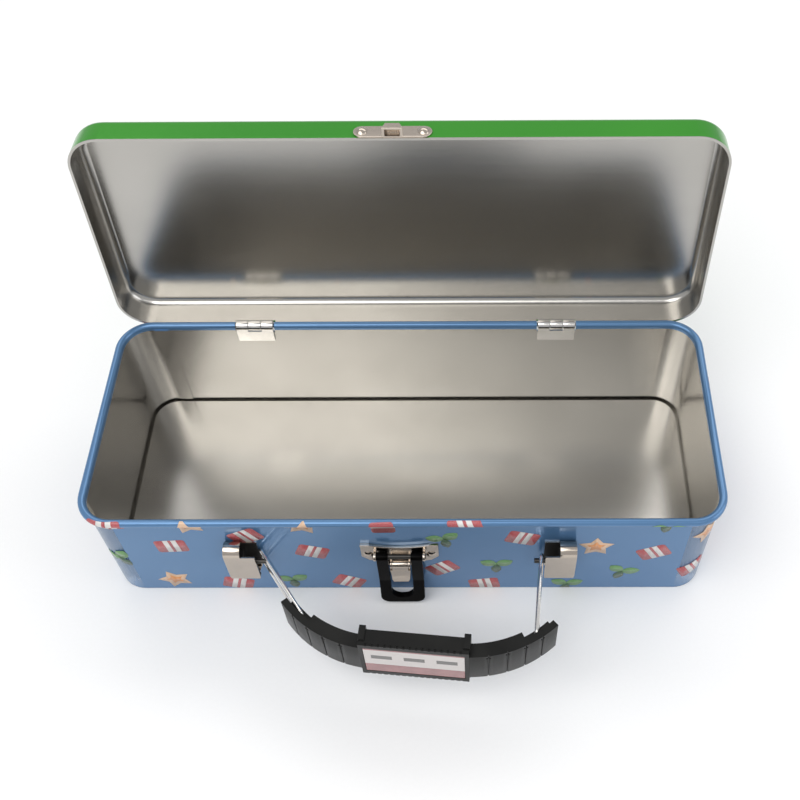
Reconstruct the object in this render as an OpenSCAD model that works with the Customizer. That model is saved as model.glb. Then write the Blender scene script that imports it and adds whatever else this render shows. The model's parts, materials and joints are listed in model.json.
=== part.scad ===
// Tin pencil case with a hinged lid, a drop latch and a carrying handle.
// The case stands on z = 0 with its centre over the origin. +X runs along its length,
// the front wall with the latch and handle faces -Y. The lid is drawn open.

/* [Case] */
// Length of the case over its rolled rim
case_w = 205; // [190:1:230]
// Depth of the case over its rolled rim
case_d = 81.4; // [74:0.2:96]
// Height of the rolled rim's top above the table
rim_h = 48.4; // [44:0.2:60]
// Plan radius of the rim's corners
corner_r = 11.6; // [10.6:0.2:16]
// Radius of the rolled bead round the rim
bead_r = 1.3; // [1.1:0.1:1.5]
// Thickness of the tinplate shell
sheet = 0.8; // [0.6:0.1:0.9]
// Height of the inside floor above the table
floor_h = 3.3; // [2.6:0.1:5]

/* [Lid] */
// Depth of the lid's skirt and panel together
lid_h = 11.2; // [10:0.2:14]
// How far past closed the lid stands open, in degrees
lid_open = 94.7; // [60:0.1:100]
// How far the latch and hinges stand to the right of the case's middle
fitting_x = -1.5; // [-2:0.1:2]
// Distance of each hinge from the latch's line
hinge_x = 53.4; // [30:0.2:70]
// Width of a hinge
hinge_w = 13; // [10:1:20]

/* [Latch] */
// Height of the drop latch's pin
latch_z = 28.3; // [26:0.1:29]
// Length from the pin to the inside of the latch's end
latch_reach = 24.4; // [24:0.1:25]
// Height of the tongue's pin
tongue_z = 23.2; // [22.8:0.1:23.6]

/* [Handle] */
// Distance of each bracket's inner edge from the middle between them
bracket_x = 46.2; // [46.1:0.1:46.3]
// Width of a bracket
bracket_w = 9.9; // [9:0.2:12]
// Height of the bracket pins on which the wire links hang
swing_z = 29; // [27:0.5:30]
// Middle of the grip's outer face, to the side of the case's middle
grip_x = 4.4; // [4.3:0.1:4.5]
// Middle of the grip's outer face, in front of the case's middle
grip_y = 76.3; // [76.2:0.1:76.8]
// How far the grip is turned where it rests, in degrees
grip_turn = 5.2; // [5:0.1:5.3]
// Width of the grip's middle block
block_h = 22; // [20:0.5:24]

/* [Hidden] */
$fn = 64;

// Shell
wall_face = case_d / 2 - 1.8;            // outer face of the front and rear walls
wall_in = wall_face - sheet;             // inner face of those walls
wall_inset = case_d / 2 - wall_face;     // rim's outside to the wall's outside
rim_z = rim_h - bead_r;                  // middle of the bead
floor_gap = 0.9;
base_gap = 0.05;
seam_w = 5;
seam_x = -case_w / 2 + corner_r + 0.2;
seam_t = 0.3;

// Lid and its hinges
lid_gap = 0.3;                           // between the rim and the closed lid's edge
lid_inset = 0.4;
lid_z = rim_h + lid_gap;
lid_face = case_d / 2 - lid_inset;
lid_corner = corner_r - lid_inset;
lid_edge_r = 3.4;
hinge_y = case_d / 2 - bead_r;
knuckle_r = 1.9;
knuckle_mid = 4.4;
hinge_pin_r = 0.7;
pin_play = 0.05;
side_play = 0.15;
leaf_t = 0.6;
leaf_z = rim_h - 7.8;
hinge_gap = hinge_w + 0.8;               // width of the gap cut in the rim for a hinge
rivet_r = 1;

// Latch
latch_w = 25.2;
latch_y = -wall_face - 2.5;              // line of both latch pins
latch_pin_r = 0.8;
eye_r = 1.5;
window_w = 7.4;
pull_w = 14.8;
pull_end = 2.7;
tongue_w = 6.6;
tongue_roll_w = 5.2;
tongue_end = 15;
latch_rivet = [10.3, 26.4];
catch_rivet = 9.4;
catch_z = lid_z + 2.9;

// Handle
bracket_mid = -0.9;                      // middle between the brackets
bracket_rivet = [bracket_x + bracket_w / 2, 22.5];
wire_r = 0.7;
swing_pin_r = 0.8;
swing_y = -wall_face - 4.35;
notch_w = 4.6;
bracket_low = 17.2;
bracket_top = 36.6;
notch_low = 34;
bracket_front = 5.9;                     // front of a bracket from the wall
link_half = 4.15;                        // middle of the wire from the link's middle
link_bend = 1.2;
link_z = swing_z + swing_pin_r + wire_r + 0.05 - link_half;
grip_mid = [grip_x, -grip_y];
arm_mid = [13.5, 40.2];                  // centre of an arm's curve, from the grip's middle
arm_r = 40;
arm_t = 4.4;
arm_plate = 2.2;
arm_half = 7.9;
arm_from = 5;
arm_to = 47;
rib_from = 31;
rib_half = 3.2;
eye_angle = 38.4;
eye_at = 37;                           // radius of the link's bore on an arm's curve
block_w = 33.4;
block_t = 5.2;
label_size = [30.8, 17.2];

// Where the links meet the grip, in plan
function turned(p) = [p[0] * cos(grip_turn) + p[1] * sin(grip_turn),
    -p[0] * sin(grip_turn) + p[1] * cos(grip_turn)];
function grip_eye(side) = grip_mid + turned([side * (arm_mid[0] + eye_at * sin(eye_angle)),
    arm_mid[1] - eye_at * cos(eye_angle)]);
right_near = [bracket_mid + bracket_x - 1, swing_y + swing_pin_r + wire_r + 0.05];
link_len = norm(grip_eye(1) - right_near);
left_near_y = -wall_face - wire_r - 0.15;
left_near = [grip_eye(-1)[0] - sqrt(pow(link_len, 2) - pow(left_near_y - grip_eye(-1)[1], 2)),
    left_near_y];

// ---------- shared shapes ----------

// Sweeps a 2D profile round a rectangle with corners of plan radius r.
// The profile's x is measured from a corner's centre, its y is the height.
module rim_sweep(w, d, r) {
    for (k = [0, 1])
        rotate(180 * k) {
            translate([w / 2 - r, d / 2 - r, 0])
                rotate([90, 0, 0]) linear_extrude(d - 2 * r) children();
            translate([-w / 2 + r, d / 2 - r, 0])
                rotate([90, 0, 90]) linear_extrude(w - 2 * r) children();
            translate([w / 2 - r, d / 2 - r, 0]) rotate_extrude(angle = 90) children();
            translate([-w / 2 + r, d / 2 - r, 0]) rotate(90) rotate_extrude(angle = 90) children();
        }
}

// Flat plate with rounded corners, standing on z = 0
module round_plate(w, d, r, t) {
    linear_extrude(t) {
        square([w - 2 * r, d], center = true);
        square([w, d - 2 * r], center = true);
        for (x = [-1, 1], y = [-1, 1])
            translate([x * (w / 2 - r), y * (d / 2 - r)]) circle(r);
    }
}

// Bar along X, centred
module x_bar(r, length) {
    rotate([0, 90, 0]) cylinder(r = r, h = length, center = true);
}

// Places children, drawn on the closed lid, at the lid's open angle
module on_lid() {
    translate([0, hinge_y, rim_z]) rotate([-lid_open, 0, 0]) translate([0, -hinge_y, -rim_z]) children();
}

// Domed rivet through a sheet: head at y = 0 facing -Y, shank going +Y
module dome_rivet(head_r, head_h, shank) {
    sphere_r = (head_r * head_r + head_h * head_h) / (2 * head_h);
    intersection() {
        translate([0, sphere_r - head_h, 0]) sphere(sphere_r);
        translate([0, -head_h, 0]) rotate([-90, 0, 0]) cylinder(r = head_r + 1, h = head_h);
    }
    rotate([-90, 0, 0]) cylinder(r = rivet_r, h = shank);
    translate([0, shank, 0]) rotate([-90, 0, 0]) cylinder(r = rivet_r + 0.7, h = 0.5);
}

// Round hole along Y for a rivet's shank
module rivet_hole(length) {
    rotate([90, 0, 0]) cylinder(r = rivet_r + pin_play, h = length, center = true);
}

// ---------- case ----------

module wall_fasteners() {
    for (s = [-1, 1]) {
        translate([fitting_x + s * latch_rivet[0], 0, latch_rivet[1]]) children();
        translate([bracket_mid + s * bracket_rivet[0], 0, bracket_rivet[1]]) children();
    }
}

module body_wall() color("#4f8fcb") difference() {
    union() {
        rim_sweep(case_w, case_d, corner_r)
            translate([corner_r - wall_inset - sheet, 0]) square([sheet, rim_z]);
        rim_sweep(case_w, case_d, corner_r)
            translate([corner_r - bead_r, rim_z]) circle(bead_r);
        translate([seam_x, wall_in - seam_t, floor_h]) cube([seam_w, seam_t + sheet / 2, rim_z - floor_h - 0.6]);
    }
    for (s = [-1, 1])
        translate([fitting_x + s * hinge_x - hinge_gap / 2, wall_in - 1, rim_z - 2.2])
            cube([hinge_gap, 6, 6]);
    wall_fasteners() translate([0, -wall_face, 0]) rivet_hole(4);
}

module base_panel() color("#b9b2a6")
    round_plate(2 * (case_w / 2 - wall_inset - sheet - base_gap), 2 * (wall_in - base_gap),
        corner_r - wall_inset - sheet - base_gap, sheet);

module floor_pan() color("#cfc8be") {
    pan_w = 2 * (case_w / 2 - wall_inset - sheet - floor_gap);
    pan_d = 2 * (wall_in - floor_gap);
    pan_r = corner_r - wall_inset - sheet - floor_gap;
    difference() {
        translate([0, 0, sheet]) round_plate(pan_w, pan_d, pan_r, floor_h - sheet);
        round_plate(pan_w - 2 * sheet, pan_d - 2 * sheet, pan_r - sheet, floor_h - sheet);
    }
}

// ---------- lid and hinges ----------

// Section of the lid's edge, from the corner's centre out to the skirt
module lid_section() {
    square_top = lid_h - lid_edge_r;
    translate([lid_corner - sheet, 0]) square([sheet, square_top]);
    translate([lid_corner - lid_edge_r, square_top]) intersection() {
        difference() {
            circle(lid_edge_r);
            circle(lid_edge_r - sheet);
        }
        square(lid_edge_r + 1);
    }
    translate([0, lid_h - sheet]) square([lid_corner - lid_edge_r, sheet]);
}

module lid_shell() color("#4caa3c") on_lid() difference() {
    translate([0, 0, lid_z]) {
        rim_sweep(2 * (case_w / 2 - lid_inset), 2 * lid_face, lid_corner) lid_section();
        translate([0, 0, lid_h - sheet / 2]) cube([case_w - 2 * corner_r, case_d - 2 * corner_r, sheet],
            center = true);
    }
    for (s = [-1, 1]) {
        translate([fitting_x + s * hinge_x - hinge_gap / 2, lid_face - 3, lid_z - 1]) cube([hinge_gap, 6, 2]);
        translate([fitting_x + s * catch_rivet, -lid_face, catch_z]) rivet_hole(4);
    }
}

// Leaf on the case: two knuckles and a plate down the inside of the rear wall
module hinge_leaf(side) color("#c9c4bb") {
    side_w = (hinge_w - knuckle_mid) / 2 - side_play;
    translate([fitting_x + side * hinge_x, 0, 0]) difference() {
        union() {
            translate([-hinge_w / 2, wall_in - leaf_t, leaf_z]) cube([hinge_w, leaf_t, rim_z - leaf_z]);
            translate([0, hinge_y, rim_z]) x_bar(knuckle_r, hinge_w);
        }
        translate([0, hinge_y, rim_z]) x_bar(knuckle_r + 0.3, hinge_w - 2 * side_w);
        translate([0, hinge_y, rim_z]) x_bar(hinge_pin_r + pin_play, hinge_w + 1);
    }
}

// Leaf on the lid: the middle knuckle, a neck and a plate welded to the skirt
module lid_leaf(side) color("#c9c4bb") on_lid()
    translate([fitting_x + side * hinge_x, 0, 0]) difference() {
        union() {
            translate([0, hinge_y, rim_z]) x_bar(knuckle_r, knuckle_mid);
            translate([-knuckle_mid / 2, lid_face, rim_z]) cube([knuckle_mid, leaf_t, lid_z - rim_z + 1.5]);
            translate([-hinge_w / 2, lid_face, lid_z + 1]) cube([hinge_w, leaf_t, 5]);
        }
        translate([0, hinge_y, rim_z]) x_bar(hinge_pin_r + pin_play, hinge_w);
    }

module hinge_pin(side) color("#8f8a80")
    translate([fitting_x + side * hinge_x, hinge_y, rim_z]) x_bar(hinge_pin_r, hinge_w + 0.6);

// Catch on the lid's skirt: a plate with a raised hoop, open towards the lid's edge
module lid_catch() color("#b9b0a4") on_lid() {
    plate_t = 0.6;
    hoop_w = 6.4;
    hoop_out = 3.6;
    hoop_top = 2.6;
    translate([fitting_x, -lid_face, lid_z]) {
        difference() {
            translate([0, 0, 0.2]) rotate([90, 0, 0]) linear_extrude(plate_t) {
                translate([-catch_rivet, 0]) square([2 * catch_rivet, 5.2]);
                for (s = [-1, 1])
                    translate([s * catch_rivet, 2.6]) circle(2.6);
            }
            for (s = [-1, 1])
                translate([s * catch_rivet, 0, catch_z - lid_z]) rivet_hole(4);
        }
        difference() {
            translate([0, 0, 0.2]) rotate([90, 0, 0]) linear_extrude(hoop_out)
                polygon([[-hoop_w / 2, 0], [hoop_w / 2, 0], [hoop_w / 2 - 1, hoop_top],
                    [-hoop_w / 2 + 1, hoop_top]]);
            translate([0, -plate_t, -0.5]) rotate([90, 0, 0]) linear_extrude(hoop_out - plate_t - 0.7)
                polygon([[-hoop_w / 2 + 0.7, 0], [hoop_w / 2 - 0.7, 0], [hoop_w / 2 - 1.4, hoop_top],
                    [-hoop_w / 2 + 1.4, hoop_top]]);
        }
    }
}

module lid_catch_rivets() color("#a9a196") on_lid()
    for (s = [-1, 1])
        translate([fitting_x + s * catch_rivet, -lid_face - 0.6, catch_z]) dome_rivet(1.9, 1, 0.6 + sheet);

// ---------- latch ----------

// Winged outline of the latch plate, drawn upright in XZ
module latch_outline() {
    half = latch_w / 2;
    difference() {
        polygon([[-half, 33], [-half, 25], [-10.2, 22.4], [-7.6, 21.6], [-4.2, 18.6], [4.2, 18.6],
            [7.6, 21.6], [10.2, 22.4], [half, 25], [half, 33]]);
        translate([0, 31.4 + 30]) circle(30, $fn = 160);
    }
}

module latch_plate() color("#b9b0a4") translate([fitting_x, 0, 0]) {
    plate_t = 0.7;
    ear_in = pull_w / 2 + side_play;
    cheek_in = tongue_roll_w / 2 + 0.1;
    cheek_t = tongue_w / 2 - cheek_in;
    difference() {
        union() {
            translate([0, -wall_face, 0]) rotate([90, 0, 0]) linear_extrude(plate_t) latch_outline();
            translate([0, -wall_face, 0]) rotate([90, 0, 0]) linear_extrude(1.1) difference() {
                latch_outline();
                translate([0, -0.7]) latch_outline();
                square([60, 58], center = true);
            }
            for (s = [-1, 1]) {
                translate([s * (ear_in + 0.4), latch_y, latch_z]) x_bar(eye_r, 0.8);
                translate([s * (ear_in + 0.4) - 0.4, latch_y, latch_z - eye_r]) cube([0.8, 2.5, 2 * eye_r]);
                translate([s * (cheek_in + cheek_t / 2), latch_y, tongue_z]) x_bar(1.6, cheek_t);
                translate([s * (cheek_in + cheek_t / 2) - cheek_t / 2, latch_y, tongue_z - 1.6])
                    cube([cheek_t, 2.5, 3.2]);
            }
        }
        translate([0, latch_y, latch_z]) x_bar(latch_pin_r + pin_play, 40);
        translate([0, latch_y, tongue_z]) x_bar(latch_pin_r + pin_play, 40);
        for (s = [-1, 1])
            translate([s * latch_rivet[0], -wall_face, latch_rivet[1]]) rivet_hole(4);
    }
}

module latch_rivets() color("#a9a196")
    for (s = [-1, 1])
        translate([fitting_x + s * latch_rivet[0], -wall_face - 0.7, latch_rivet[1]])
            dome_rivet(1.8, 0.8, 0.7 + sheet);

module latch_pin() color("#8f8a80")
    translate([fitting_x, latch_y, latch_z]) x_bar(latch_pin_r, pull_w + 2.4);

module tongue_pin() color("#8f8a80")
    translate([fitting_x, latch_y, tongue_z]) x_bar(latch_pin_r, tongue_w);

// Black pull: two eyes on the pin and a U round the tongue, its lower end a little off the wall
module latch_pull() color("#0c0b0b") translate([fitting_x, 0, 0]) {
    inner_low = latch_z - latch_reach;
    low = inner_low - pull_end;
    front = latch_y - eye_r;
    difference() {
        union() {
            for (s = [-1, 1])
                translate([s * (pull_w + window_w) / 4, latch_y, latch_z])
                    x_bar(eye_r, (pull_w - window_w) / 2);
            intersection() {
                translate([0, 20, 0]) rotate([90, 0, 0]) linear_extrude(100) difference() {
                    union() {
                        translate([-pull_w / 2, low + 3]) square([pull_w, latch_z - low - 3]);
                        translate([-pull_w / 2 + 3, low]) square([pull_w - 6, 4]);
                        for (s = [-1, 1])
                            translate([s * (pull_w / 2 - 3), low + 3]) circle(3);
                    }
                    translate([0, inner_low + window_w / 2]) circle(window_w / 2);
                    translate([-window_w / 2, inner_low + window_w / 2]) square([window_w, 40]);
                }
                rotate([90, 0, 90]) linear_extrude(pull_w + 2, center = true)
                    polygon([[front, latch_z], [front, 14], [front - 1.8, low], [front + 0.2, low],
                        [front + 1.8, 14], [front + 1.8, latch_z]]);
            }
        }
        translate([0, latch_y, latch_z]) x_bar(latch_pin_r + pin_play, 40);
    }
}

module latch_tongue() color("#9a9186") translate([fitting_x, 0, 0]) difference() {
    union() {
        translate([0, latch_y, tongue_z]) x_bar(1.5, tongue_roll_w);
        rotate([90, 0, 90]) linear_extrude(tongue_roll_w, center = true)
            polygon([[latch_y - 1.5, tongue_z], [latch_y - 1.6, 20.6], [latch_y - 0.8, 20.6],
                [latch_y - 0.7, tongue_z]]);
        intersection() {
            rotate([90, 0, 90]) linear_extrude(tongue_w, center = true)
                polygon([[latch_y - 1.6, 21.4], [latch_y - 1.6, 17.6], [latch_y - 2.4, tongue_end],
                    [latch_y - 1.6, tongue_end - 0.3], [latch_y - 0.8, 17.4], [latch_y - 0.8, 21.4]]);
            rotate([90, 0, 0]) linear_extrude(100)
                polygon([[-tongue_w / 2, 21.4], [-tongue_w / 2 + 0.4, tongue_end + 1], [-tongue_w / 2 + 1.3, 14],
                    [tongue_w / 2 - 1.3, 14], [tongue_w / 2 - 0.4, tongue_end + 1], [tongue_w / 2, 21.4]]);
        }
    }
    translate([0, latch_y, tongue_z]) x_bar(latch_pin_r + pin_play, 20);
}

// ---------- handle ----------

// Sheet bent round over the top of a bracket, in YZ: up the wall, over and down the front
module bracket_section() {
    sheet_t = 0.6;
    bend = bracket_front / 2;
    bend_z = bracket_top - bend;
    front = -wall_face - bracket_front;
    translate([-wall_face - bend, bend_z]) difference() {
        circle(bend);
        circle(bend - sheet_t);
        translate([-10, -20]) square(20);
    }
    polygon([[-wall_face, bend_z + 0.01], [-wall_face, bracket_low], [-wall_face - 2.4, bracket_low - 0.8],
        [front, bracket_low + 2.4], [front, bend_z + 0.01], [front + sheet_t, bend_z + 0.01],
        [front + sheet_t, bracket_low + 2.8], [-wall_face - 2.2, bracket_low],
        [-wall_face - sheet_t, bracket_low + 0.6], [-wall_face - sheet_t, bend_z + 0.01]]);
}

// Bracket drawn for the right side; the left one is its mirror image
module bracket() color("#b9b0a4") {
    knuckle_w = bracket_w - notch_w;
    knuckle_out = 1.5;
    difference() {
        union() {
            intersection() {
                translate([bracket_x, 0, 0]) rotate([90, 0, 90]) linear_extrude(bracket_w) bracket_section();
                translate([bracket_x, 0, 0]) rotate([90, 0, 0]) linear_extrude(100)
                    polygon([[0, 50], [0, 21], [0.5, 18], [1.6, 16.6], [bracket_w - 1.6, 16.6],
                        [bracket_w - 0.6, 18], [bracket_w, 21], [bracket_w, 50]]);
            }
            translate([bracket_x + notch_w + knuckle_w / 2, swing_y, swing_z]) x_bar(knuckle_out, knuckle_w);
            translate([bracket_x + notch_w, swing_y, swing_z + knuckle_out - 0.9])
                cube([knuckle_w, -wall_face - swing_y, 0.9]);
        }
        translate([bracket_x - 1, -wall_face - 20, notch_low]) cube([notch_w + 1, 30, 20]);
        translate([bracket_x, swing_y, swing_z]) x_bar(swing_pin_r + pin_play, 60);
        translate([bracket_rivet[0], -wall_face, bracket_rivet[1]]) rivet_hole(4);
    }
}

module bracket_pin() color("#3a3835") {
    pin_in = bracket_x - 3.4;
    pin_out = bracket_x + bracket_w - 0.4;
    translate([(pin_in + pin_out) / 2, swing_y, swing_z]) x_bar(swing_pin_r, pin_out - pin_in);
}

module bracket_rivets() color("#a9a196")
    for (s = [-1, 1])
        translate([bracket_mid + s * bracket_rivet[0], -wall_face - 0.6, bracket_rivet[1]])
            dome_rivet(1.6, 0.8, 0.6 + sheet);

// Places children, drawn for the right side, on the right (1) or mirrored on the left (-1)
module on_side(side) {
    translate([bracket_mid, 0, 0]) mirror([side < 0 ? 1 : 0, 0, 0]) children();
}

// Wire link from a bracket pin, at near, to the grip's bore, at far
module link(near, far) color("#d9d4cb") {
    run = far - near;
    turn = atan2(run[1], run[0]);
    middle = (near + far) / 2;
    outer_bend = link_bend + wire_r;
    translate([middle[0], middle[1], link_z]) rotate(turn) rotate([90, 0, 0])
        rim_sweep(norm(run) + 2 * wire_r, 2 * (link_half + wire_r), outer_bend)
            translate([link_bend, 0]) circle(wire_r);
}

// Places children, drawn about the middle of the grip's outer face, where the grip lies
module on_grip() {
    translate([grip_mid[0], grip_mid[1], link_z]) rotate(-grip_turn) children();
}

// A piece of an arm between two angles, from radius r_in to r_out, over a range of heights
module arm_piece(from, to, r_in, r_out, low, high) {
    translate([arm_mid[0], arm_mid[1], 0]) rotate(-90 + from) rotate_extrude(angle = to - from)
        translate([r_in, low]) square([r_out - r_in, high - low]);
}

module grip_arm() {
    inner = arm_r - arm_t;
    plate_in = arm_r - arm_plate;
    flange = 1.4;
    difference() {
        arm_piece(arm_from - 2, arm_to, inner, arm_r, -arm_half, arm_half);
        arm_piece(arm_from + 4, rib_from - 2, inner - 1, plate_in, flange - arm_half, arm_half - flange);
        arm_piece(rib_from, arm_to + 2, inner - 1, plate_in, rib_half, arm_half + 1);
        arm_piece(rib_from, arm_to + 2, inner - 1, plate_in, -arm_half - 1, -rib_half);
        translate([arm_mid[0] + eye_at * sin(eye_angle), arm_mid[1] - eye_at * cos(eye_angle), 0])
            cylinder(r = wire_r + pin_play, h = 20, center = true);
        for (a = [13, 21.5, 30, 38.5])
            translate([arm_mid[0], arm_mid[1], 0]) rotate(-90 + a) {
                translate([arm_r, 0, 0]) cube([0.6, 0.35, 20], center = true);
                translate([arm_r, 0, arm_half - 1.5]) cube([1.4, 1.5, 0.8], center = true);
            }
    }
}

module handle_grip() color("#1c1b1a") on_grip() difference() {
    union() {
        for (s = [0, 1])
            mirror([s, 0, 0]) {
                grip_arm();
                translate([block_w / 2 - 1.8, 1.6, -block_h / 2 - 0.6]) cube([2, block_t - 0.6, block_h + 1.2]);
            }
        translate([-block_w / 2, 0, -block_h / 2]) cube([block_w, block_t, block_h]);
    }
    translate([-label_size[0] / 2 - 0.1, -1, -label_size[1] / 2 - 0.1])
        cube([label_size[0] + 0.2, 1.5, label_size[1] + 0.2]);
    for (i = [0:15], s = [-1, 1])
        translate([(i - 7.5) * 1.9, 0, s * block_h / 2]) cube([0.7, 1.6, 0.6], center = true);
}

module handle_label() color("#e4dbd6") on_grip()
    translate([-label_size[0] / 2, 0.1, -label_size[1] / 2]) cube([label_size[0], 0.4, label_size[1]]);

body_wall();
base_panel();
floor_pan();
lid_shell();
hinge_leaf(-1);  // left_hinge_leaf
hinge_leaf(1);  // right_hinge_leaf
lid_leaf(-1);  // left_lid_leaf
lid_leaf(1);  // right_lid_leaf
hinge_pin(-1);  // left_hinge_pin
hinge_pin(1);  // right_hinge_pin
lid_catch();
lid_catch_rivets();
latch_plate();
latch_rivets();
latch_pin();
latch_pull();
tongue_pin();
latch_tongue();
on_side(-1) bracket();  // left_bracket
on_side(1) bracket();  // right_bracket
on_side(-1) bracket_pin();  // left_bracket_pin
on_side(1) bracket_pin();  // right_bracket_pin
bracket_rivets();
link(left_near, grip_eye(-1));  // left_link
link(right_near, grip_eye(1));  // right_link
handle_grip();
handle_label();
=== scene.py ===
"""Looks of the tin pencil case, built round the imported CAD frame."""

import json
import math
import random

import bmesh
import bpy
from mathutils import Matrix, Vector


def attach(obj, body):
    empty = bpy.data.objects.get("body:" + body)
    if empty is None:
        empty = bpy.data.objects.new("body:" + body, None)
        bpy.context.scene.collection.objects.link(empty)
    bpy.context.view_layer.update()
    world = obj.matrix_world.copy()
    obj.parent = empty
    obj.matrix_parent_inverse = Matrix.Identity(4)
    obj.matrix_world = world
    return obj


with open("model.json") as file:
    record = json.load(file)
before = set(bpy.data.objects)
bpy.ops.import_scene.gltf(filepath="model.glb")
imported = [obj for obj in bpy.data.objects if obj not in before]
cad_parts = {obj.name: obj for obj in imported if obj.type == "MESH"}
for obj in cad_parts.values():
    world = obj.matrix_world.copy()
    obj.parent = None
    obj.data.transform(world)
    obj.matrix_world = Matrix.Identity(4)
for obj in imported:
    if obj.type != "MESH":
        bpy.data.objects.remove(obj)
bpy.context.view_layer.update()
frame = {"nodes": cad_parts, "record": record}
nodes = frame["nodes"]
MM = 0.001

# ---------------------------------------------------------------- measures, in mm where not vectors
# The case: outer face of its walls, their corners, half the sheet, and the bead round its rim
HALF_X, HALF_Y, CORNER = 100.7, 38.9, 9.8
HALF_WALL = 0.4
BEAD_R, BEAD_OUT, BEAD_Z = 1.3, 0.5, 47.1
RIM_PAINT_Z = 46.1                 # from this height up the paint goes on round the bead

# The open lid: its hinge line, where the closed lid's up and back point, and its hollow's middle
HINGE = Vector((0, 39.4, 47.1)) * MM
LID_OPEN = math.radians(94.7)
LID_UP = Vector((0, math.sin(LID_OPEN), math.cos(LID_OPEN)))
LID_BACK = Vector((0, math.cos(LID_OPEN), -math.sin(LID_OPEN)))
LID_MIDDLE = HINGE + LID_UP * 3.6 * MM - LID_BACK * 39.4 * MM
LID_CUT_EDGE = 1.9                 # bare below this height over the hinge line

# The grip's middle and turn, and the label's print in the grip's own axes
GRIP_AT = Vector((4.4, -76.3, 26.4)) * MM
GRIP_TURN = math.radians(5.2)
PALE_LOW, PALE_HIGH = -2.8, 7.7
BAR_STEP, BAR_HALF_LENGTH, BAR_ROW_HALF = 10, 3.2, 13.4
BAR_Z, BAR_HALF_HEIGHT = 2.6, 1.3

# The brackets' top bend, and how far round it and down inside them the painted shade (near-black)
# goes
BRACKET_BEND = Vector((0, -41.85, 33.65)) * MM
BEND_SHADE_R, SHADE_HALF_DEPTH, SHADE_LOW = 2.6, 2.5, 20.6

# ---------------------------------------------------------------- camera and light
scene = bpy.context.scene
scene.view_settings.view_transform = "Standard"
scene.view_settings.look = "None"

CAMERA_AT = Vector((0.02322, -0.198905, 0.342907))
PITCH, YAW, ROLL = 0.917021, 0.011238, -0.012262     # radians: down, left and anticlockwise
LENS, SENSOR = 48.216, 36
SHIFT_X, SHIFT_Y = -0.085, -0.0614


def make_camera():
    cam = bpy.data.objects.new("camera", bpy.data.cameras.new("camera"))
    scene.collection.objects.link(cam)
    level = math.cos(PITCH)
    ahead = Vector((-math.sin(YAW) * level, math.cos(YAW) * level, -math.sin(PITCH)))
    right = Vector((math.cos(YAW), math.sin(YAW), 0))
    up = right.cross(ahead)
    right, up = (right * math.cos(ROLL) + up * math.sin(ROLL),
                 -right * math.sin(ROLL) + up * math.cos(ROLL))
    turn = Matrix((right, up, -ahead)).transposed().to_4x4()
    cam.matrix_world = Matrix.Translation(CAMERA_AT) @ turn
    cam.data.lens = LENS
    cam.data.sensor_width = SENSOR
    cam.data.shift_x = SHIFT_X
    cam.data.shift_y = SHIFT_Y
    cam.data.clip_start = 0.01
    scene.camera = cam


def area_light(name, at, target, size, watts, colour):
    data = bpy.data.lights.new(name, "AREA")
    data.shape = "RECTANGLE"
    data.size, data.size_y = size
    data.energy = watts
    data.color = colour
    lamp = bpy.data.objects.new(name, data)
    scene.collection.objects.link(lamp)
    lamp.location = at
    lamp.rotation_euler = (Vector(target) - Vector(at)).to_track_quat("-Z", "Y").to_euler()


make_camera()
area_light("key_light", (-0.35, -0.35, 0.95), (0, 0, 0.03), (0.9, 0.7), 5.0, (1, 0.985, 0.96))
area_light("back_light", (0.1, 0.55, 0.75), (0, 0, 0.05), (1.2, 0.35), 2.2, (1, 0.98, 0.95))
area_light("strip_light", (0.05, -0.62, 0.92), (0, 0, 0.05), (1.3, 0.09), 0.8, (1, 0.99, 0.97))
area_light("side_light", (0.8, -0.15, 0.45), (0, 0, 0.03), (0.5, 0.5), 1.3, (0.97, 0.98, 1))

world = bpy.data.worlds.new("studio")
world.use_nodes = True
sky = world.node_tree.nodes["Background"].inputs
sky["Color"].default_value = (0.96, 0.975, 1, 1)
sky["Strength"].default_value = 0.62
scene.world = world


# ---------------------------------------------------------------- material helpers
def rgba(value):
    if isinstance(value, (tuple, list)) and len(value) == 3:
        return (*value, 1)
    return value


def darker(colour, share):
    return tuple(c * share for c in colour)


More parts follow.
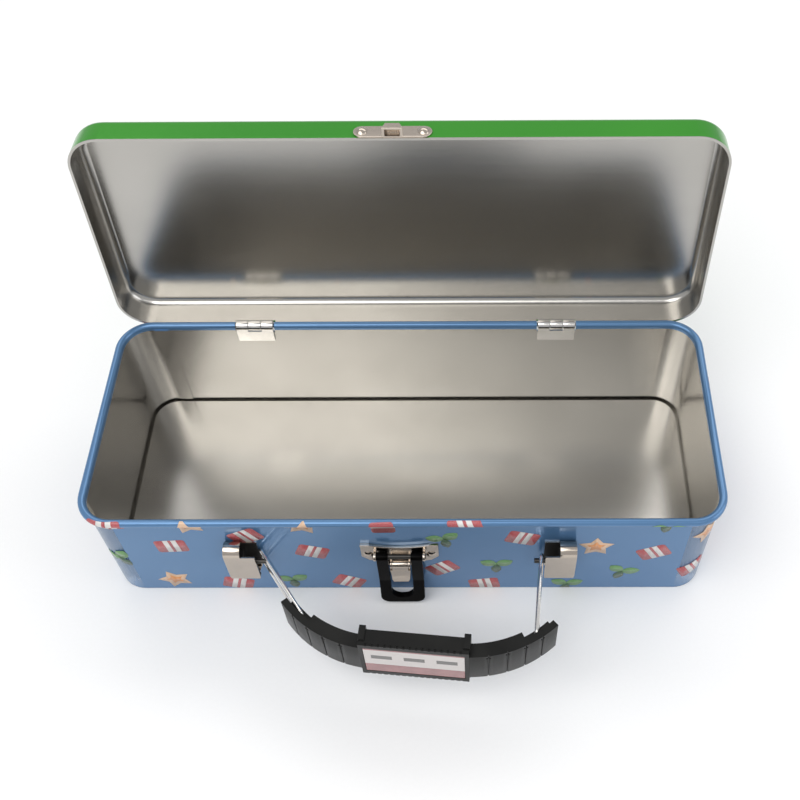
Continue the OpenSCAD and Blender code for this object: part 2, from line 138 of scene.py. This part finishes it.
class Net:
    """A material's node tree, with short calls for the nodes used here."""

    def __init__(self, name):
        self.mat = bpy.data.materials.new(name)
        self.mat.use_nodes = True
        self.tree = self.mat.node_tree
        self.shader = self.tree.nodes["Principled BSDF"]
        self.place = self.tree.nodes.new("ShaderNodeTexCoord").outputs

    def put(self, kind, values=(), **settings):
        node = self.tree.nodes.new(kind)
        for key, value in settings.items():
            setattr(node, key, value)
        for key, value in dict(values).items():
            self.give(node.inputs[key], value)
        return node

    def give(self, socket, value):
        if isinstance(value, bpy.types.NodeSocket):
            self.tree.links.new(value, socket)
        elif value is not None:
            socket.default_value = value

    def stretched(self, scale, shift=(0, 0, 0)):
        values = {"Vector": self.place["Object"], "Scale": scale, "Location": shift}
        return self.put("ShaderNodeMapping", values).outputs["Vector"]

    def noise(self, scale, detail, rough, where=None):
        values = {"Vector": where or self.place["Object"], "Scale": scale, "Detail": detail,
                  "Roughness": rough}
        return self.put("ShaderNodeTexNoise", values).outputs["Fac"]

    def math(self, operation, a, b=None):
        node = self.put("ShaderNodeMath", operation=operation)
        self.give(node.inputs[0], a)
        self.give(node.inputs[1], b)
        return node.outputs[0]

    def near(self, value, middle, reach):
        """1 where the value is within reach of middle, 0 elsewhere."""
        gap = self.math("ABSOLUTE", self.math("SUBTRACT", value, middle))
        return self.math("LESS_THAN", gap, reach)

    def vec(self, operation, a, b=None, out="Vector"):
        node = self.put("ShaderNodeVectorMath", operation=operation)
        self.give(node.inputs[0], a)
        self.give(node.inputs[1], b)
        return node.outputs[out]

    def axes(self, vector):
        return self.put("ShaderNodeSeparateXYZ", {"Vector": vector}).outputs

    def span(self, value, low, high, from_low=0.0, from_high=1.0):
        values = {"Value": value, "From Min": from_low, "From Max": from_high,
                  "To Min": low, "To Max": high}
        return self.put("ShaderNodeMapRange", values).outputs["Result"]

    def blend(self, kind, first_input, output, factor, a, b):
        """A Mix node: each kind of value has its own pair of inputs and its own output."""
        node = self.put("ShaderNodeMix", data_type=kind)
        self.give(node.inputs[0], factor)
        self.give(node.inputs[first_input], a)
        self.give(node.inputs[first_input + 1], b)
        return node.outputs[output]

    def mix(self, factor, a, b):
        return self.blend("RGBA", 6, 2, factor, rgba(a), rgba(b))

    def mix_value(self, factor, a, b):
        return self.blend("FLOAT", 2, 0, factor, a, b)

    def mix_vector(self, factor, a, b):
        return self.blend("VECTOR", 4, 1, factor, a, b)

    def bump(self, height, distance, strength):
        values = {"Height": height, "Distance": distance, "Strength": strength}
        return self.put("ShaderNodeBump", values).outputs["Normal"]

    def finish(self, colour, metallic, roughness, normal=None, **fixed):
        self.give(self.shader.inputs["Base Color"], rgba(colour))
        self.give(self.shader.inputs["Metallic"], metallic)
        self.give(self.shader.inputs["Roughness"], roughness)
        self.give(self.shader.inputs["Normal"], normal)
        for key, value in fixed.items():
            self.shader.inputs[key.replace("_", " ")].default_value = value
        return self.mat


# ---------------------------------------------------------------- materials
TIN, TIN_DARK = (0.49, 0.475, 0.447), (0.455, 0.44, 0.412)
BLUE, BLUE_DEEP = (0.115, 0.245, 0.44), (0.10, 0.215, 0.40)
GREEN, GREEN_DEEP = (0.038, 0.31, 0.014), (0.03, 0.27, 0.012)
NICKEL = (0.53, 0.465, 0.40)
PALE, PALE_DARK = (0.66, 0.62, 0.60), (0.54, 0.49, 0.47)
PINK, PINK_DARK = (0.34, 0.145, 0.145), (0.28, 0.12, 0.12)


def tin_parts(net):
    """Colour, roughness and normal of bare tin: rolling lines along X, faint smudges, fine grain."""
    lines = net.noise(1, 4, 0.6, net.stretched((20, 700, 700)))
    smudge = net.noise(22, 4, 0.55)
    grain = net.noise(1500, 2, 0.5)
    colour = net.mix(net.span(smudge, 0, 1, 0.3, 0.7), TIN, TIN_DARK)
    rough = net.math("ADD", net.span(smudge, 0.205, 0.245, 0.3, 0.7),
                     net.span(lines, -0.02, 0.02))
    return colour, rough, net.bump(grain, 0.00001, 0.03)


def paint_parts(net, colour, deep):
    """Varnished print on tin: slight tone drift, fine ink speckle, a gloss with faint orange peel."""
    drift = net.noise(18, 3, 0.5)
    speck = net.noise(5200, 2, 0.6)
    tone = net.mix(net.span(drift, 0, 1, 0.3, 0.7), colour, deep)
    tone = net.mix(net.span(speck, 0.0, 0.14), tone, (0.02, 0.03, 0.05))
    peel = net.noise(420, 2, 0.4)
    scuff = net.noise(1, 5, 0.7, net.stretched((900, 900, 120)))
    return tone, net.span(scuff, 0.10, 0.22, 0.3, 0.75), net.bump(peel, 0.00003, 0.12)


def painted_tin(net, outside, colour, deep, metallic):
    """Paint where outside is 1, bare tin where it is 0."""
    paint, paint_rough, paint_normal = paint_parts(net, colour, deep)
    tin, tin_rough, tin_normal = tin_parts(net)
    return net.finish(net.mix(outside, tin, paint), net.mix_value(outside, 1.0, metallic),
                      net.mix_value(outside, tin_rough, paint_rough),
                      net.mix_vector(outside, tin_normal, paint_normal))


def bare_tin():
    net = Net("bare_tin")
    colour, rough, normal = tin_parts(net)
    return net.finish(colour, 1.0, rough, normal, Anisotropic=0.3)


def printed_tin():
    """Blue outside and over the rolled rim, bare tin inside: split at the wall's middle surface."""
    net = Net("printed_tin")
    flat = net.vec("MULTIPLY", net.place["Object"], (1, 1, 0))
    straight = Vector((HALF_X - CORNER, HALF_Y - CORNER, 0)) * MM
    over = net.vec("SUBTRACT", net.vec("ABSOLUTE", flat), straight)
    away = net.vec("LENGTH", net.vec("MAXIMUM", over, (0, 0, 0)), out="Value")
    outside = net.math("MAXIMUM", net.math("GREATER_THAN", away, (CORNER - HALF_WALL) * MM),
                       net.math("GREATER_THAN", net.axes(net.place["Object"])["Z"],
                                RIM_PAINT_Z * MM))
    return painted_tin(net, outside, BLUE, BLUE_DEEP, 0.35)


def lid_tin():
    """Green outside, bare tin inside, and a bright cut edge."""
    net = Net("lid_tin")
    away = net.vec("SUBTRACT", net.place["Object"], LID_MIDDLE)
    facing = net.vec("DOT_PRODUCT", net.place["Normal"], away, out="Value")
    over = net.vec("SUBTRACT", net.place["Object"], HINGE)
    height = net.vec("DOT_PRODUCT", over, LID_UP, out="Value")
    outside = net.math("MULTIPLY", net.math("GREATER_THAN", facing, 0.0),
                       net.math("GREATER_THAN", height, LID_CUT_EDGE * MM))
    return painted_tin(net, outside, GREEN, GREEN_DEEP, 0.3)


def plate_parts(net, colour):
    """Plating's duller patches, its tone and its scratches along one way."""
    patch = net.noise(160, 4, 0.6)
    tone = net.mix(net.span(patch, 0, 0.35, 0.35, 0.75), colour, darker(colour, 0.72))
    return patch, tone, net.noise(1, 3, 0.7, net.stretched((500, 9000, 9000)))


def plated(name, colour, low, high):
    """Plated steel: soft tone drift, fine scratches both ways, duller patches."""
    net = Net(name)
    patch, tone, along = plate_parts(net, colour)
    across = net.noise(1, 3, 0.7, net.stretched((9000, 500, 700), (3, 1, 2)))
    scratch = net.math("MAXIMUM", along, across)
    rough = net.math("ADD", net.span(patch, low, high, 0.3, 0.7),
                     net.span(scratch, -0.02, 0.05, 0.4, 0.8))
    return net.finish(tone, 1.0, rough, net.bump(scratch, 0.00002, 0.12))


def bracket_plate():
    """Nickel plate whose inner faces, between wall and front sheet, are painted near-black as shade.
    """
    net = Net("bracket_plate")
    patch, tone, scratch = plate_parts(net, NICKEL)
    spot = net.place["Object"]
    axes = net.axes(spot)
    flat = net.vec("MULTIPLY", net.vec("SUBTRACT", spot, BRACKET_BEND), (0, 1, 1))
    in_bend = net.math("LESS_THAN", net.vec("LENGTH", flat, out="Value"), BEND_SHADE_R * MM)
    below = net.math("MULTIPLY", net.math("LESS_THAN", axes["Z"], BRACKET_BEND.z),
                     net.math("GREATER_THAN", axes["Z"], SHADE_LOW * MM))
    inside = net.math("MULTIPLY", net.math("MAXIMUM", in_bend, below),
                      net.near(axes["Y"], BRACKET_BEND.y, SHADE_HALF_DEPTH * MM))
    # painted shade: near-black, matt and not metal on the inner faces, standing in for the shade
    # inside the bracket
    tone = net.mix(inside, tone, (0.012, 0.011, 0.010))
    rough = net.mix_value(inside, net.span(patch, 0.16, 0.24, 0.3, 0.7), 0.5)
    return net.finish(tone, net.mix_value(inside, 1.0, 0.0), rough,
                      net.bump(scratch, 0.00002, 0.12))


def black_plastic():
    """Moulded black plastic: fine spark texture, worn lighter patches."""
    net = Net("black_plastic")
    spark = net.noise(3200, 3, 0.65)
    wave = net.noise(70, 3, 0.5)
    tone = net.mix(net.span(wave, 0, 1, 0.35, 0.7), (0.005, 0.005, 0.0048), (0.010, 0.010, 0.009))
    rough = net.math("ADD", net.span(wave, 0.30, 0.42, 0.3, 0.7), net.span(spark, -0.05, 0.06))
    return net.finish(tone, 0.0, rough, net.bump(spark, 0.00005, 0.3), Specular_IOR_Level=0.2)


def black_enamel():
    """Baked black enamel on the latch pull: glossy, with faint orange peel and rubbed patches."""
    net = Net("black_enamel")
    peel = net.noise(900, 2, 0.4)
    rub = net.noise(240, 4, 0.6)
    tone = net.mix(net.span(rub, 0, 0.5, 0.55, 0.8), (0.002, 0.0018, 0.0018), (0.010, 0.009, 0.008))
    return net.finish(tone, 0.0, net.span(rub, 0.14, 0.28, 0.3, 0.7), net.bump(peel, 0.00003, 0.2),
                      Specular_IOR_Level=0.03)


def label_print():
    """Label: three plain grey bars on a pale band, a pink line over it and a pink band under it."""
    net = Net("label_print")
    local = net.vec("SUBTRACT", net.place["Object"], GRIP_AT)
    local = net.put("ShaderNodeVectorRotate", {"Vector": local, "Angle": GRIP_TURN})
    axes = net.axes(local.outputs["Vector"])
    fibre = net.noise(2400, 3, 0.6)
    blotch = net.noise(260, 3, 0.5)
    pale = net.mix(net.span(fibre, 0.1, 0.5), PALE, PALE_DARK)
    pink = net.mix(net.span(blotch, 0, 1, 0.35, 0.65), PINK, PINK_DARK)
    is_pink = net.math("MAXIMUM", net.math("LESS_THAN", axes["Z"], PALE_LOW * MM),
                       net.math("GREATER_THAN", axes["Z"], PALE_HIGH * MM))
    cell = net.math("PINGPONG", axes["X"], BAR_STEP / 2 * MM)
    bar = net.math("MULTIPLY", net.math("LESS_THAN", cell, BAR_HALF_LENGTH * MM),
                   net.near(axes["Z"], BAR_Z * MM, BAR_HALF_HEIGHT * MM))
    in_row = net.math("LESS_THAN", net.math("ABSOLUTE", axes["X"]), BAR_ROW_HALF * MM)
    tone = net.mix(is_pink, pale, pink)
    tone = net.mix(net.math("MULTIPLY", bar, in_row), tone, (0.10, 0.095, 0.09))
    return net.finish(tone, 0.0, net.span(fibre, 0.18, 0.30), net.bump(fibre, 0.00002, 0.2),
                      Coat_Weight=0.4)


def ink(name, colour):
    """One colour of the printed motifs, with the print's dot grain and the varnish's gloss."""
    net = Net(name)
    dots = net.noise(4200, 2, 0.6)
    fade = net.noise(90, 3, 0.5)
    peel = net.noise(420, 2, 0.4)
    tone = net.mix(net.span(fade, 0, 0.35, 0.3, 0.7), colour, darker(colour, 0.7))
    tone = net.mix(net.span(dots, 0, 0.16, 0.3, 0.8), tone, (0.9, 0.9, 0.9))
    return net.finish(tone, 0.0, net.span(dots, 0.12, 0.24), net.bump(peel, 0.00003, 0.12))


LOOKS = {
    "printed_tin": printed_tin(),
    "bare_tin": bare_tin(),
    "lid_tin": lid_tin(),
    "hinge_steel": plated("hinge_steel", (0.74, 0.72, 0.69), 0.12, 0.21),
    # near-black pin steel: black oxide, and also painted shade where the pin shows in the brackets'
    # notch
    "pin_steel": plated("pin_steel", (0.07, 0.066, 0.062), 0.30, 0.40),
    "nickel_plate": plated("nickel_plate", NICKEL, 0.15, 0.21),
    "bright_wire": plated("bright_wire", (0.86, 0.84, 0.81), 0.08, 0.18),
    "black_plastic": black_plastic(),
    "label_card": label_print(),
}

for part in frame["record"]["subparts"]:
    obj = nodes[part["node"]]
    obj.data.materials.clear()
    obj.data.materials.append(LOOKS[part["material_slot"]])
nodes["latch_pull"].data.materials[0] = black_enamel()
for name in ("left_bracket", "right_bracket"):
    nodes[name].data.materials[0] = bracket_plate()

# ---------------------------------------------------------------- soft edges on the CAD pieces
SOFT_EDGES = {"handle_grip": 0.3, "latch_pull": 0.35, "left_bracket": 0.22, "right_bracket": 0.22,
              "latch_plate": 0.12, "latch_tongue": 0.15, "lid_catch": 0.12,
              "left_hinge_leaf": 0.12, "right_hinge_leaf": 0.12, "handle_label": 0.1,
              "left_lid_leaf": 0.1, "right_lid_leaf": 0.1}
WELD_GAP = 0.002
BEVEL_FROM, SMOOTH_UNDER = math.radians(35), math.radians(32)

for name, obj in nodes.items():
    weld = obj.modifiers.new("weld", "WELD")
    weld.merge_threshold = WELD_GAP * MM
    if name in SOFT_EDGES:
        bevel = obj.modifiers.new("soft_edge", "BEVEL")
        bevel.width = SOFT_EDGES[name] * MM
        bevel.segments = 3
        bevel.limit_method = "ANGLE"
        bevel.angle_limit = BEVEL_FROM
        bevel.use_clamp_overlap = True
        bevel.harden_normals = False
    bpy.context.view_layer.objects.active = obj
    for other in bpy.context.selected_objects:
        other.select_set(False)
    obj.select_set(True)
    bpy.ops.object.shade_auto_smooth(angle=SMOOTH_UNDER)

# ---------------------------------------------------------------- printed motifs
WALL_TOP = BEAD_Z - math.sqrt(BEAD_R ** 2 - BEAD_OUT ** 2)
BEAD_START = math.atan2(WALL_TOP - BEAD_Z, -BEAD_OUT)
SIDE_X, SIDE_Y, ARC = 2 * (HALF_X - CORNER), 2 * (HALF_Y - CORNER), CORNER * math.pi / 2
ROUND = 2 * (SIDE_X + SIDE_Y) + 4 * ARC


def round_case(s):
    """Point and outward way on the wall's outer face, s mm round from the front's middle."""
    s = (s + SIDE_X / 2) % ROUND
    for k, run in enumerate((SIDE_X, SIDE_Y, SIDE_X, SIDE_Y)):
        turn = Matrix.Rotation(k * math.pi / 2, 2)
        across, out = (HALF_X, HALF_Y) if k % 2 == 0 else (HALF_Y, HALF_X)
        if s < run:
            return turn @ Vector((s - across + CORNER, -out)), turn @ Vector((0, -1))
        s -= run
        if s < ARC:
            angle = s / CORNER
            way = Vector((math.sin(angle), -math.cos(angle)))
            return turn @ (Vector((across - CORNER, -out + CORNER)) + way * CORNER), turn @ way
        s -= ARC
    raise ValueError(s)


def on_case(s, t, lift):
    """Point in metres on the case's outside, t mm up the wall and on round the bead."""
    point, way = round_case(s)
    if t < WALL_TOP:
        out, z = lift, t
    else:
        angle = BEAD_START + (t - WALL_TOP) / BEAD_R
        out = BEAD_OUT + (BEAD_R + lift) * math.cos(angle)
        z = BEAD_Z + (BEAD_R + lift) * math.sin(angle)
    spot = point + way * out
    return Vector((spot.x, spot.y, z)) * MM


def turned(points, at, turn):
    c, s = math.cos(turn), math.sin(turn)
    return [(at[0] + x * c - y * s, at[1] + x * s + y * c) for x, y in points]


def rounded_box(w, h, r, steps=4):
    points = []
    for k, (x, y) in enumerate(((1, 1), (-1, 1), (-1, -1), (1, -1))):
        for i in range(steps + 1):
            a = math.radians(90 * k + 90 * i / steps)
            points.append((x * (w / 2 - r) + r * math.cos(a), y * (h / 2 - r) + r * math.sin(a)))
    return points


def leaf(length, width, at, turn, steps=8, fullness=0.8):
    points = []
    for side in (1, -1):
        for i in range(steps):
            u = i / steps
            x = length * (u if side > 0 else 1 - u)
            points.append((x, side * width / 2 * math.sin(math.pi * x / length) ** fullness))
    return turned(points, at, turn)


def star(outer, inner, count=5):
    return [(r * math.cos(a), r * math.sin(a)) for i in range(2 * count)
            for r, a in [((outer, inner)[i % 2], math.pi * i / count + math.pi / 2)]]


def box_at(x0, x1, y0, y1):
    return [(x0, y0), (x1, y0), (x1, y1), (x0, y1)]


# Each motif is a list of (ink, outline, layer), outlines in mm about the motif's middle
MOTIFS = {
    "eraser": [("red", rounded_box(10.2, 7.6, 1.1), 0),
               ("cream", box_at(-2.0, 2.4, -3.8, 3.8), 1),
               ("red", box_at(-0.3, 0.7, -3.8, 3.8), 2)],
    "sprig": [("leaf", leaf(6.6, 4.6, (-0.4, 0), math.radians(25)), 0),
              ("leaf", leaf(6.2, 4.4, (0.2, 0.2), math.radians(150)), 1),
              ("dark_leaf", leaf(5.8, 3.4, (0, 0.4), math.radians(265)), 2)],
    "star": [("peach", star(6.0, 3.3), 0), ("orange", star(3.2, 1.7), 1)],
}
INKS = {
    "red": ink("ink_red", (0.42, 0.05, 0.06)),
    "cream": ink("ink_cream", (0.72, 0.70, 0.68)),
    "leaf": ink("ink_leaf", (0.10, 0.27, 0.07)),
    "dark_leaf": ink("ink_dark_leaf", (0.02, 0.08, 0.03)),
    "peach": ink("ink_peach", (0.72, 0.47, 0.30)),
    "orange": ink("ink_orange", (0.72, 0.28, 0.07)),
}
INK_ORDER = list(INKS)

# Motifs on the front wall and its corners: (mm along, mm up, kind, turn in degrees)
FRONT = [
    (-92, 46.5, "eraser", 4), (-67, 45.5, "star", 12), (-31, 45, "star", -8),
    (-6, 45, "eraser", 92), (20, 48.5, "eraser", 20), (83, 45, "sprig", 0),
    (-75, 31, "eraser", 5), (-50, 37.5, "eraser", 30), (-30, 27, "eraser", -20),
    (13, 35, "sprig", 20), (12, 15, "eraser", 35), (38, 36, "eraser", -18),
    (30, 17, "sprig", 5), (62, 30, "star", 0), (81, 26, "eraser", 28), (72, 12, "sprig", -15),
    (-79, 7, "star", 20), (-58, 4, "eraser", -15), (-39, 6, "sprig", 10),
    (-20, 5, "eraser", -28), (26, 3, "eraser", 10), (54, 2.5, "sprig", 0),
    (96, 13, "eraser", 25), (-94, 22, "sprig", 40), (98, 36, "star", 15),
]
FRONT_END = 108.0                  # the loose grid on the other three walls starts past this
COLUMN, ROWS, ROW, LOWEST, ODD_RISE, HIGHEST = 15.5, 3, 18.5, 7, 9, 50

PRINT_LOW, PRINT_HIGH = 0.15, 50.6         # the print ends here, mm up the wall and round the bead
BEAD_SLICE, WALL_SLICE = 0.35, 1.2         # outlines are cut this fine to bend with the sheet
INK_LIFT, LAYER_LIFT, INK_THICK = 0.03, 0.018, 0.02


def motif_places():
    yield from ((s, t, kind, math.radians(turn)) for s, t, kind, turn in FRONT)
    rng = random.Random(7)
    length = ROUND - 2 * FRONT_END
    columns = int(length / COLUMN)
    for column in range(columns):
        s = FRONT_END + (column + 0.5) * length / columns
        for row in range(ROWS):
            t = LOWEST + ROW * row + (ODD_RISE if column % 2 else 0)
            if t < HIGHEST:
                yield (s + rng.uniform(-2.5, 2.5), t + rng.uniform(-2, 2),
                       rng.choice(("eraser", "eraser", "sprig", "star")), rng.uniform(-0.9, 0.9))


def cut(flat, at, across, **clear):
    bmesh.ops.bisect_plane(flat, geom=flat.verts[:] + flat.edges[:] + flat.faces[:], dist=1e-5,
                           plane_co=at, plane_no=across, **clear)


def slices(at, stop, step):
    while at < stop:
        yield at
        at += step


def print_outline(whole, outline, layer, material_index):
    """Wrap one flat outline, in mm along and up, onto the case's outside."""
    flat = bmesh.new()
    flat.faces.new([flat.verts.new((s, t, 0)) for s, t in outline])
    ups = [t for s, t in outline]
    for t in slices(max(min(ups), WALL_TOP), max(ups), BEAD_SLICE):
        cut(flat, (0, t, 0), (0, 1, 0))
    alongs = [s for s, t in outline]
    for s in slices(math.ceil(min(alongs) / WALL_SLICE) * WALL_SLICE, max(alongs), WALL_SLICE):
        cut(flat, (s, 0, 0), (1, 0, 0))
    cut(flat, (0, PRINT_LOW, 0), (0, 1, 0), clear_inner=True)
    cut(flat, (0, PRINT_HIGH, 0), (0, 1, 0), clear_outer=True)
    bmesh.ops.triangulate(flat, faces=flat.faces[:])
    lift = INK_LIFT + LAYER_LIFT * layer
    made = {v: whole.verts.new(on_case(v.co.x, v.co.y, lift)) for v in flat.verts}
    for face in flat.faces:
        new = whole.faces.new([made[v] for v in face.verts])
        new.material_index = material_index
        new.smooth = True
    flat.free()


def print_motifs():
    whole = bmesh.new()
    for s, t, kind, turn in motif_places():
        for name, outline, layer in MOTIFS[kind]:
            print_outline(whole, turned(outline, (s, t), turn), layer, INK_ORDER.index(name))
    mesh = bpy.data.meshes.new("wall_motifs")
    whole.to_mesh(mesh)
    whole.free()
    for name in INK_ORDER:
        mesh.materials.append(INKS[name])
    obj = bpy.data.objects.new("wall_motifs", mesh)
    scene.collection.objects.link(obj)
    skin = obj.modifiers.new("thickness", "SOLIDIFY")
    skin.thickness = INK_THICK * MM
    skin.offset = -1
    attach(obj, "case")


print_motifs()

# ---------------------------------------------------------------- floor
FLOOR_HALF, FLOOR_DROP = 6.0, 0.0002       # metres


def make_floor():
    mesh = bpy.data.meshes.new("floor")
    corners = [(x * FLOOR_HALF, y * FLOOR_HALF, 0) for x, y in box_at(-1, 1, -1, 1)]
    mesh.from_pydata(corners, [], [(0, 1, 2, 3)])
    obj = bpy.data.objects.new("floor", mesh)
    scene.collection.objects.link(obj)
    obj.location.z = -FLOOR_DROP
    net = Net("floor_paper")
    grain = net.noise(900, 3, 0.5)
    tone = net.mix(net.span(grain, 0, 1), (0.90, 0.90, 0.90), (0.93, 0.93, 0.93))
    mesh.materials.append(net.finish(tone, 0.0, 0.85))


make_floor()
